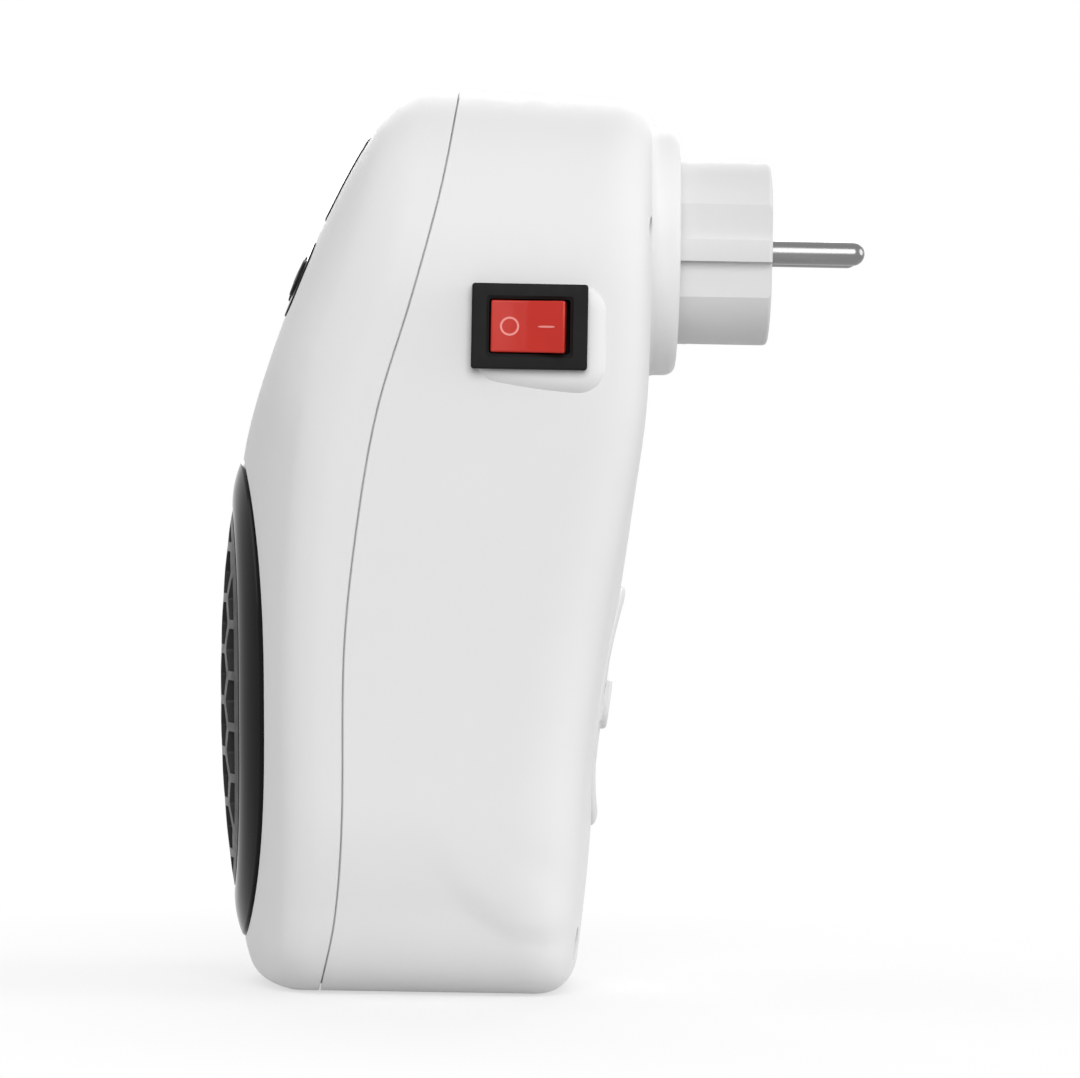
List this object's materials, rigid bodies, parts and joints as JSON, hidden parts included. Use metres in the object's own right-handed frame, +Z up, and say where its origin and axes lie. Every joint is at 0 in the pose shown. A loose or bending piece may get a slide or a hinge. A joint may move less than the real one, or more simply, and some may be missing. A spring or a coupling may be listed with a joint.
{
  "type": "plug-in ceramic fan heater",
  "caption": "Small fan heater that hangs on its own turning wall plug, with a domed honeycomb outlet, a side rocker switch and a rear air inlet.",
  "frame": {"origin": "centre of the plug's end face, between the two pins", "axes": "+Y the way the pins enter the wall, +Z up along the housing, +X towards the side with the mains switch"},
  "size_m": [0.0948, 0.1288, 0.1813],
  "materials": {
    "white_shell": "satin moulded white",
    "plug_grey_white": "satin moulded light grey",
    "gloss_black": "polished black",
    "guard_black": "satin black",
    "smoked_lens": "smoked polished",
    "matte_black": "matt black",
    "rocker_red": "polished red",
    "plated_pin": "bright plated",
    "steel": "zinc plated",
    "brass": "plain",
    "heater_resin": "matt heat-proof resin",
    "fin_aluminium": "plain",
    "board_green": "satin lacquer",
    "relay_blue": "satin",
    "capacitor_yellow": "polished",
    "fan_grey": "satin",
    "tact_black": "matt"
  },
  "bodies": {
    "housing": {"front_shell": "white_shell", "rear_shell": "white_shell", "housing_screw_1": "steel", "housing_screw_2": "steel", "housing_screw_3": "steel", "housing_screw_4": "steel", "outlet_bezel": "gloss_black", "outlet_grille": "guard_black", "display_lens": "smoked_lens", "button_panel": "gloss_black", "control_board": "board_green", "display_module": "matte_black", "tact_down": "tact_black", "tact_power": "tact_black", "tact_up": "tact_black", "heater_frame": "heater_resin", "ptc_heater": "fin_aluminium", "thermal_cutoff": "matte_black", "fan_frame": "fan_grey", "fan_motor": "steel", "power_board": "board_green", "relay": "relay_blue", "capacitor": "capacitor_yellow", "switch_body": "matte_black", "switch_terminal_1": "brass", "switch_terminal_2": "brass", "contact_bridge": "heater_resin", "contact_leaf_outer": "brass", "contact_leaf_inner": "brass", "release_spring": "steel"},
    "plug": {"plug_body": "plug_grey_white", "pin_line": "plated_pin", "pin_neutral": "plated_pin", "plug_retainer": "plug_grey_white", "slip_ring_outer": "brass", "slip_ring_inner": "brass"},
    "rocker": {"switch_rocker": "rocker_red"},
    "release": {"release_button": "white_shell"},
    "power_key": {"power_button": "matte_black"},
    "down_key": {"temp_down_button": "matte_black"},
    "up_key": {"temp_up_button": "matte_black"},
    "rotor": {"fan_impeller": "fan_grey", "motor_shaft": "steel"}
  },
  "joints": [
    {"name": "plug_swivel", "type": "hinge", "parent": "housing", "child": "plug", "pos_m": [0, 0, 0], "axis": [0, 1, 0], "range_deg": [-90, 180]},
    {"name": "release_press", "type": "slide", "parent": "housing", "child": "release", "axis": [0, -1, 0], "range_m": [0, 0.003], "stiffness_N_per_m": 300, "springref_m": -0.001, "deforming": ["release_spring"]},
    {"name": "switch_rock", "type": "hinge", "parent": "housing", "child": "rocker", "pos_m": [0.04602, -0.04899, -0.0165], "axis": [0, 0, 1], "range_deg": [0, 18.6]},
    {"name": "power_press", "type": "slide", "parent": "housing", "child": "power_key", "axis": [0, 0.9135, -0.4067], "range_m": [0, 0.0005], "stiffness_N_per_m": 1500, "springref_m": -0.0001},
    {"name": "temp_down_press", "type": "slide", "parent": "housing", "child": "down_key", "axis": [0, 0.9135, -0.4067], "range_m": [0, 0.0005], "stiffness_N_per_m": 1500, "springref_m": -0.0001},
    {"name": "temp_up_press", "type": "slide", "parent": "housing", "child": "up_key", "axis": [0, 0.9135, -0.4067], "range_m": [0, 0.0005], "stiffness_N_per_m": 1500, "springref_m": -0.0001},
    {"name": "fan_spin", "type": "hinge", "parent": "housing", "child": "rotor", "pos_m": [0, 0, -0.0923], "axis": [0, 1, 0], "continuous": true}
  ]
}
